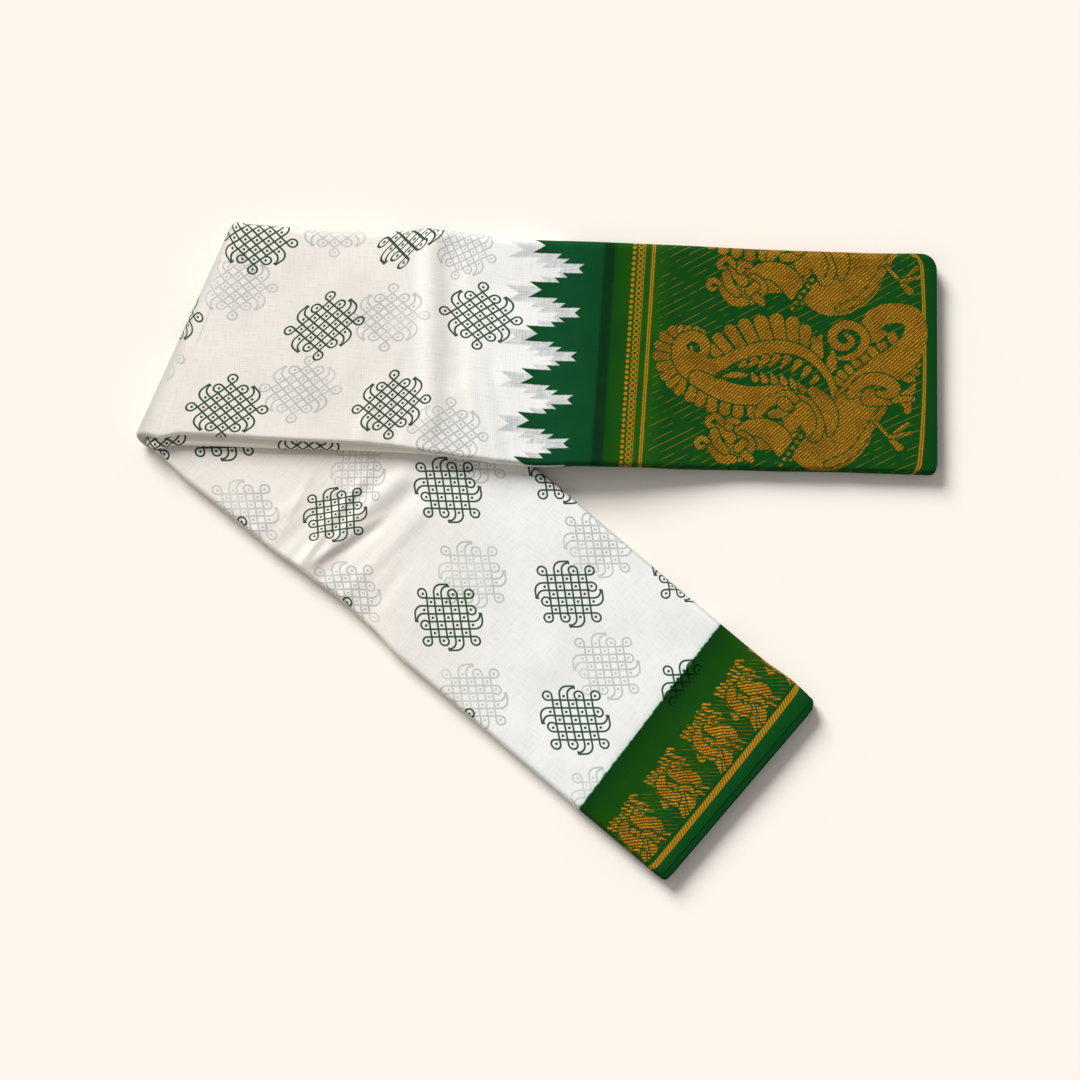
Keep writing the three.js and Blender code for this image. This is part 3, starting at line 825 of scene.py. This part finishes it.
class Web:
    # the nodes of one material or group, with short ways to add and join them
    def __init__(self, tree):
        self.tree = tree

    def node(self, kind, *values, **facts):
        node = self.tree.nodes.new("ShaderNode" + kind)
        for name, value in facts.items():
            setattr(node, name, value)
        for place, value in enumerate(values):
            self.feed(node.inputs[place], value)
        return node

    def feed(self, socket, value):
        if isinstance(value, bpy.types.NodeSocket):
            self.tree.links.new(value, socket)
        elif value is not None:
            socket.default_value = value

    def calc(self, operation, *values):
        return self.node("Math", *values, operation=operation).outputs[0]

    def plus(self, first, second):
        return self.calc("ADD", first, second)

    def minus(self, first, second):
        return self.calc("SUBTRACT", first, second)

    def times(self, first, second):
        return self.calc("MULTIPLY", first, second)

    def away(self, value, middle=0):  # how far a value is from the middle, either way
        return self.calc("ABSOLUTE", self.minus(value, middle))

    def fromHalf(self, value):  # 0.5 at whole numbers and 0 halfway between them
        return self.away(self.calc("FRACT", value), 0.5)

    def least(self, *values):
        found = values[0]
        for value in values[1:]:
            found = self.calc("MINIMUM", found, value)
        return found

    def most(self, *values):
        found = values[0]
        for value in values[1:]:
            found = self.calc("MAXIMUM", found, value)
        return found

    def vector(self, operation, *values, out=0):
        return self.node("VectorMath", *values, operation=operation).outputs[out]

    def point(self, x, y):
        return self.node("CombineXYZ", x, y).outputs[0]

    def length(self, x, y):
        return self.vector("LENGTH", self.point(x, y), out="Value")

    def ease(self, value, low, high, start=0.0, end=1.0):
        facts = {"interpolation_type": "SMOOTHSTEP"}
        return self.node("MapRange", value, low, high, start, end, **facts).outputs[0]

    def stripe(self, value, half, soft=0.3):  # 1 near 0, fading out past half
        return self.ease(self.away(value), half - soft, half + soft, 1, 0)

    def mix(self, share, first, second, **facts):
        node = self.node("Mix", data_type="RGBA", **facts)
        self.feed(node.inputs[0], share)
        self.feed(node.inputs[6], first)
        self.feed(node.inputs[7], second)
        return node.outputs[2]

    def shade(self, colour, strength, share):  # darkens or lightens a colour by a share
        return self.mix(share, colour, (strength, strength, strength, 1), blend_type="MULTIPLY")

    def noise(self, place, scale, detail=2.0, stretch=(1, 1, 1)):
        if stretch != (1, 1, 1):
            place = self.node("Mapping", place, None, None, stretch).outputs[0]
        node = self.node("TexNoise")
        self.feed(node.inputs["Vector"], place)
        node.inputs["Scale"].default_value = scale
        node.inputs["Detail"].default_value = detail
        return node.outputs[0]

    def ramp(self, value, rows, low, high):
        node = self.node("ValToRGB", self.node("MapRange", value, low, high, 0, 1).outputs[0])
        stops = node.color_ramp.elements
        for place, (at, tone) in enumerate(rows):
            stop = stops[place] if place < 2 else stops.new(1)
            stop.position, stop.color = (at - low) / (high - low), linear(*tone)
        return node.outputs[0]

    def group(self, tree, first, second):
        node = self.node("Group")
        node.node_tree = tree
        self.feed(node.inputs[0], first)
        self.feed(node.inputs[1], second)
        return node.outputs[0]


def newGroup(name, result):  # a group with one result at a place along and across
    tree = bpy.data.node_groups.new(name, "ShaderNodeTree")
    for text in ("along", "across"):
        tree.interface.new_socket(text, in_out="INPUT", socket_type="NodeSocketFloat")
    tree.interface.new_socket(result, in_out="OUTPUT", socket_type="NodeSocketFloat")
    source, sink = tree.nodes.new("NodeGroupInput"), tree.nodes.new("NodeGroupOutput")
    return tree, Web(tree), source.outputs, sink.inputs[0]


def kolamGroup():
    # how dark the printed figure is at a distance along and across from its centre
    tree, web, given, result = newGroup("kolamFigure", "ink")
    cellAlong, cellAcross = kolam["cell"]
    m = web.calc("DIVIDE", web.away(given[0]), cellAlong)
    n = web.calc("DIVIDE", web.away(given[1]), cellAcross)
    p, q = web.plus(m, n), web.minus(m, n)
    sideways = web.away(q)
    half, radius = kolam["half"], kolam["loop"]
    lattice = web.least(web.fromHalf(p), web.fromHalf(q))
    lattice = web.most(lattice, web.minus(web.most(p, sideways), half))

    def loop(x, y):  # round, but for the corner where its two ends cross
        corner = web.away(web.plus(web.least(x, y), radius))
        circle = web.away(web.length(x, y), radius)
        atCorner = web.calc("LESS_THAN", web.most(x, y), 0)
        return web.node("Mix", atCorner, None, circle, corner).outputs[0]

    x = web.minus(p, half + radius)
    tips = loop(x, web.minus(sideways, half + radius))
    sides = loop(x, web.plus(q, half - 1 - radius))

    def hook(cx, cy, r):
        dx, dy = web.most(web.minus(p, cx), 0), web.most(web.minus(q, cy), 0)
        arc = web.away(web.length(dx, dy), r)
        return web.most(arc, web.minus(half, p), web.minus(kolam["innerHook"][1], q))

    hooks = web.least(hook(*kolam["outerHook"]), hook(*kolam["innerHook"]))
    tipX, tipY, flat = kolam["hookTip"]
    tip = web.length(web.times(web.minus(p, tipX), flat), web.minus(q, tipY))
    lines = web.least(lattice, tips, sides, hooks, tip)
    lineInk = web.stripe(lines, kolam["line"], kolam["soft"])

    def toDot(value, cell):
        return web.times(web.minus(web.calc("FRACT", web.plus(value, 0.5)), 0.5), cell)

    dots = web.length(toDot(m, cellAlong), toDot(n, cellAcross))
    inside = web.calc("LESS_THAN", web.most(p, sideways), half + kolam["dotReach"])
    dotInk = web.times(web.ease(dots, *kolam["dot"], 1, 0), inside)
    web.feed(result, web.most(lineInk, dotInk))
    return tree


def teethGroup():
    # above 0 where the cloth is white, below where it is green
    tree, web, given, result = newGroup("borderTeeth", "white")
    off = web.calc("PINGPONG", given[1], teeth["half"])
    parts = []
    for step, wide, notch, slope in teeth["steps"]:
        barb = web.times(web.most(web.minus(off, notch), 0), slope)
        parts.append(web.least(web.minus(web.plus(barb, step), given[0]), web.minus(wide, off)))
    valley, slope = teeth["valley"]
    parts.append(web.minus(web.times(web.most(web.minus(off, valley), 0), slope), given[0]))
    web.feed(result, web.most(*parts))
    return tree


kolamFigure, borderTeeth = kolamGroup(), teethGroup()


def clothCentres(upper, lower):  # places on the arms as places on the opened cloth
    return upper + [(-turnLength - u, 2 * spineMiddle - v, skew) for u, v, skew in lower]


def nearest(web, spot, centres):
    best = web.vector("SUBTRACT", spot, centres[0])
    least = web.vector("LENGTH", best, out="Value")
    for centre in centres[1:]:
        toCentre = web.vector("SUBTRACT", spot, centre)
        length = web.vector("LENGTH", toCentre, out="Value")
        node = web.node("Mix", data_type="VECTOR")
        web.feed(node.inputs[0], web.calc("LESS_THAN", length, least))
        web.feed(node.inputs[4], best)
        web.feed(node.inputs[5], toCentre)
        best = node.outputs[1]
        least = web.least(least, length)
    return best


def inkAt(web, spot, sets):
    inks = []
    for facts in sets:
        offset = nearest(web, spot, clothCentres(facts["upper"], facts["lower"]))
        parts = web.node("SeparateXYZ", offset).outputs  # the third holds the skew
        along = web.minus(parts[0], web.times(parts[1], parts[2]))
        across = web.plus(parts[1], web.times(parts[0], facts["row"]))
        inks.append(web.group(kolamFigure, web.times(along, facts["squeeze"]), across))
    return web.most(*inks)


def cottonColour(web, spot, slubs):
    # warmer towards the fold, with slubs both ways and slow mottling
    place = web.node("TexCoord").outputs["Object"]
    tint = web.ease(web.node("SeparateXYZ", place).outputs[0], *cotton["coolFrom"])
    colour = web.mix(tint, colours["warm"], colours["cool"])
    colour = web.shade(colour, cotton["slubTone"], web.ease(slubs, *cotton["slubShows"]))
    mottling = web.ease(web.noise(spot, cotton["mottling"], 3), *cotton["mottlingShows"])
    return web.shade(colour, cotton["mottlingTone"], mottling)


def paintFoldShade(web, colour, along, path, atTurn):
    # painted shade: greyer round the spine edge and the turn
    spineOff = web.away(path, spineMiddle)
    off = web.plus(spineOff, paintedFoldShade["spine"])
    if atTurn:  # the outer ply's way round the turn grows towards the open edge
        slanted = web.plus(along, web.times(spineOff, math.tan(halfTurn)))
        growth = web.times(spineOff, (turnReach(band, 0) - turnReach(0, 0)) / band)
        angle = web.calc("DIVIDE", slanted, web.plus(growth, turnReach(0, 0)))
        off = web.least(off, web.times(web.away(angle, -math.pi / 2), turnRadius))
    return web.shade(colour, paintedFoldShade["tone"], web.ease(off, *paintedFoldShade["reach"]))


def addDashes(web, colour, along, path, facts):
    # thin broken lines of gold thread, slanting across the border
    start, end = facts["reach"]
    row = web.plus(path, web.times(along, facts["slope"]))
    off = web.times(web.fromHalf(web.calc("DIVIDE", row, facts["spacing"])), facts["spacing"])
    line = web.ease(off, facts["half"] * 0.5, facts["half"] * 1.7, 1, 0)
    broken = web.ease(web.noise(web.point(along, row), 0.9, 2, (0.12, 0.5, 1)), 0.42, 0.56)
    begun = web.ease(along, start - 1, start + 2)
    inside = web.times(begun, web.ease(along, end - 2, end + 1, 1, 0))
    share = web.times(web.times(line, broken), web.times(inside, facts["strength"]))
    return web.mix(share, colour, colours["gold"])


def addLines(web, colour, along, path):
    # the wide border's chain of beads and rings, the line beside it, and its double lines
    half = chain["half"]
    bead = web.length(web.minus(along, chain["beads"]), web.calc("PINGPONG", path, half))
    between = web.calc("PINGPONG", web.plus(path, half), half)
    ring = web.length(web.times(web.minus(along, chain["rings"]), 0.85), between)
    gold = web.most(web.ease(bead, 1.2, 1.9, 1, 0), web.stripe(web.minus(ring, 1.75), 0.5))
    edge = web.stripe(web.minus(along, chain["edge"]), 0.4)
    gold = web.most(gold, web.times(edge, 0.7))
    for at in chain["lines"]:
        off = web.away(along, at)
        gold = web.most(gold, web.stripe(web.minus(off, 0.85), 0.55))
    worn = web.ease(web.noise(web.point(along, path), 0.8, 2), 0.3, 0.55, 0.45, 0.95)
    return web.mix(web.times(gold, worn), colour, colours["gold"])


def addRope(web, colour, out, path):
    # the narrow border's twisted line
    inside = web.stripe(web.minus(out, rope["at"]), rope["half"])
    row = [web.calc("DIVIDE", value, pitch) for value, pitch in zip((path, out), rope["twist"])]
    strand = web.ease(web.fromHalf(web.plus(*row)), 0.08, 0.2)
    return web.mix(web.times(inside, strand), colour, colours["gold"])


def goldThread(web, colour, gold, spot, woven):
    # gold thread where gold is above 0, in slanting ribs of short stitches
    along, path = web.node("SeparateXYZ", spot).outputs[:2]
    row = web.plus(path, web.times(along, thread["slant"]))
    row = web.calc("DIVIDE", row, thread["rib"][woven])
    row = web.plus(row, web.times(web.noise(spot, 0.1, 2), 1.2))
    rib = web.ease(web.fromHalf(row), 0.08, 0.36)
    stitch = web.noise(web.point(web.times(along, 0.5), row), 1.8, 2)
    tone = web.mix(rib, colours["goldDeep"], colours["gold"])
    tone = web.mix(web.times(rib, web.ease(stitch, 0.5, 0.7)), tone, colours["goldBright"])
    tone = web.shade(tone, thread["shine"][woven], 1)
    tone = web.mix(web.ease(web.noise(spot, 1.6, 1), 0.5, 0.36), tone, colours["goldDeep"])
    tone = web.shade(tone, 0.72, web.ease(web.noise(spot, 0.045, 3), 0.42, 0.72))
    return web.mix(gold, colour, tone), rib


def teethAt(web, along, path, dx=0, dy=0):
    offStart = web.minus(along, teeth["start"] - dx)
    return web.group(borderTeeth, offStart, web.minus(path, teeth["centre"] + dy))


def addThrough(web, colour, spot, along, path, slubs):
    # the next ply's border, which shows faintly through the white teeth
    through = web.ease(teethAt(web, along, path, *teeth["through"]), -1.2, 1.2, 1, 0)
    patchy = web.ease(web.plus(slubs, web.noise(spot, 0.09, 3)), 1.2, 1.8, 0.35, 0.95)
    return web.mix(web.times(through, patchy), colour, colours["through"])


def addWideBorder(web, colour, along, path, wobble, deep):
    facts = grounds["wide"]
    ground = web.ramp(web.plus(along, web.times(wobble, 1.5)), facts["rows"], *facts["span"])
    ground = web.mix(web.times(deep, 0.4), ground, colours["deepGreen"])
    ground = addDashes(web, ground, along, path, dashes["wide"])
    ground = addLines(web, ground, along, path)
    edge = web.plus(teethAt(web, along, path), web.times(wobble, 0.9))
    return web.mix(web.ease(edge, -0.35, 0.35, 1, 0), colour, ground)


def addNarrowBorder(web, colour, spot, along, path, deep, darkInk):
    # the dye has run a little into the white, and figures lie darker under its edge
    facts = grounds["narrow"]
    out = web.minus(-turnLength, along)
    ground = web.ramp(out, facts["rows"], *facts["span"])
    ground = web.mix(web.times(deep, 0.35), ground, colours["deepGreen"])
    ground = addDashes(web, ground, out, path, dashes["narrow"])
    ground = addRope(web, ground, out, path)
    bleed = web.times(web.minus(web.noise(spot, 0.2, 3), 0.5), 3)
    past = web.minus(out, web.plus(bleed, facts["start"]))
    ground = web.shade(ground, 0.2, web.times(darkInk, web.ease(past, 5, 14, 1, 0)))
    stain = web.times(web.ease(past, -5, 0.5, 0, 0.4), web.minus(1, darkInk))
    stained = web.mix(stain, colour, colours["stain"])
    return web.mix(web.ease(past, -0.7, 1.1), stained, ground)


def clothMaterial(name, figured, upper, lower, tone=1.0, woven=None):
    # printed cotton and its dyed borders: which parts the piece holds keeps its nodes few
    material = bpy.data.materials.new(name)
    material.use_nodes = True
    web, shader = Web(material.node_tree), material.node_tree.nodes["Principled BSDF"]
    chart = web.node("UVMap", uv_map="cloth").outputs[0]
    spot = web.vector("SCALE", chart, None, None, 1 / mm)
    along, path = web.node("SeparateXYZ", spot).outputs[:2]
    wobble = web.minus(web.noise(spot, cotton["wobble"], 3), 0.5)
    slubs = web.plus(*[web.noise(spot, cotton["slubs"], 2, drawn) for drawn in cotton["drawnOut"]])
    deep = web.ease(web.noise(spot, 0.05, 3), 0.3, 0.75)

    colour = cottonColour(web, spot, slubs)
    # painted shade round the spine edge and the turn
    colour = paintFoldShade(web, colour, along, path, not lower)
    if figured:
        thin = web.ease(web.noise(spot, 0.03, 2), 0.3, 0.6, 0.55, 1)
        faintInk = web.times(inkAt(web, spot, printed["faint"]), web.times(thin, 0.75))
        colour = web.mix(faintInk, colour, colours["faint"])
    if upper:
        # painted light: the open edge's lips are made lighter, though they lie in shade
        paintedLightOnLip = web.ease(path, openEnd + 10, openEnd + 2)
        colour = web.mix(paintedLightOnLip, colour, colours["lip"])
        colour = addThrough(web, colour, spot, along, path, slubs)
    darkInk = inkAt(web, spot, printed["dark"]) if figured else 0
    if figured:
        colour = web.mix(web.times(darkInk, 0.95), colour, colours["ink"])
    if upper:
        colour = addWideBorder(web, colour, along, path, wobble, deep)
    if lower:
        colour = addNarrowBorder(web, colour, spot, along, path, deep, darkInk)
    # painted shade between the lips
    inside = web.most(web.minus(path, lipInside[0]), web.minus(lipInside[1], path))
    colour = web.shade(colour, 0.3, web.ease(inside, 0, 3))
    colour = web.shade(colour, tone, 1)

    shader.inputs["Roughness"].default_value = cotton["roughness"]
    shader.inputs["Specular IOR Level"].default_value = cotton["sheen"]
    height = slubs
    if woven:
        depth = web.node("Attribute", attribute_name="goldDepth").outputs["Fac"]
        gold = web.ease(web.plus(depth, web.times(wobble, 0.5)), -0.2, 0.2)
        colour, rib = goldThread(web, colour, gold, spot, woven)
        height = web.plus(slubs, web.times(rib, gold))
        roughness = web.ease(gold, 0, 1, cotton["roughness"], thread["roughness"])
        web.feed(shader.inputs["Roughness"], roughness)
        web.feed(shader.inputs["Metallic"], web.times(gold, thread["metal"]))
    web.feed(shader.inputs["Base Color"], colour)
    bump = web.node("Bump", *cotton["relief"])
    web.feed(bump.inputs["Height"], height)
    web.feed(shader.inputs["Normal"], bump.outputs[0])
    return material


def give(piece, material):
    piece.data.materials.clear()
    piece.data.materials.append(material)


give(pieces["upperBody"][0], clothMaterial("printedCottonUpper", True, True, False))
give(pieces["lowerBody"][0], clothMaterial("printedCottonLower", True, False, True))
give(pieces["foldTurn"][0], clothMaterial("printedCottonTurn", True, False, False))
give(pieces["wideBorder"][0], clothMaterial("wideBorderCloth", False, True, False))
give(pieces["narrowBorder"][0], pieces["lowerBody"][0].data.materials[0])
give(largeBirds, clothMaterial("largeBirdsCloth", False, True, False, woven="large"))
give(smallBirds, clothMaterial("smallBirdsCloth", False, False, True, woven="small"))
give(upperPlies, clothMaterial("upperInnerPlies", False, True, False, 0.9))
give(lowerPlies, clothMaterial("lowerInnerPlies", False, False, True, 0.9))
give(turnPlies, clothMaterial("turnInnerPlies", False, False, False, 0.9))
print("materials made")


# The sizes of the pieces, before and after


loopLength = float(np.sum(np.hypot(*np.diff(loopAt(4 * innerPlies["spacing"]), axis=0).T)))
for piece, stretch in ((upperPlies, "upper"), (lowerPlies, "lower")):
    count = len(innerPlies[stretch]["stops"])
    length = innerPlies["length"] - sum(innerPlies[stretch]["stops"]) / count
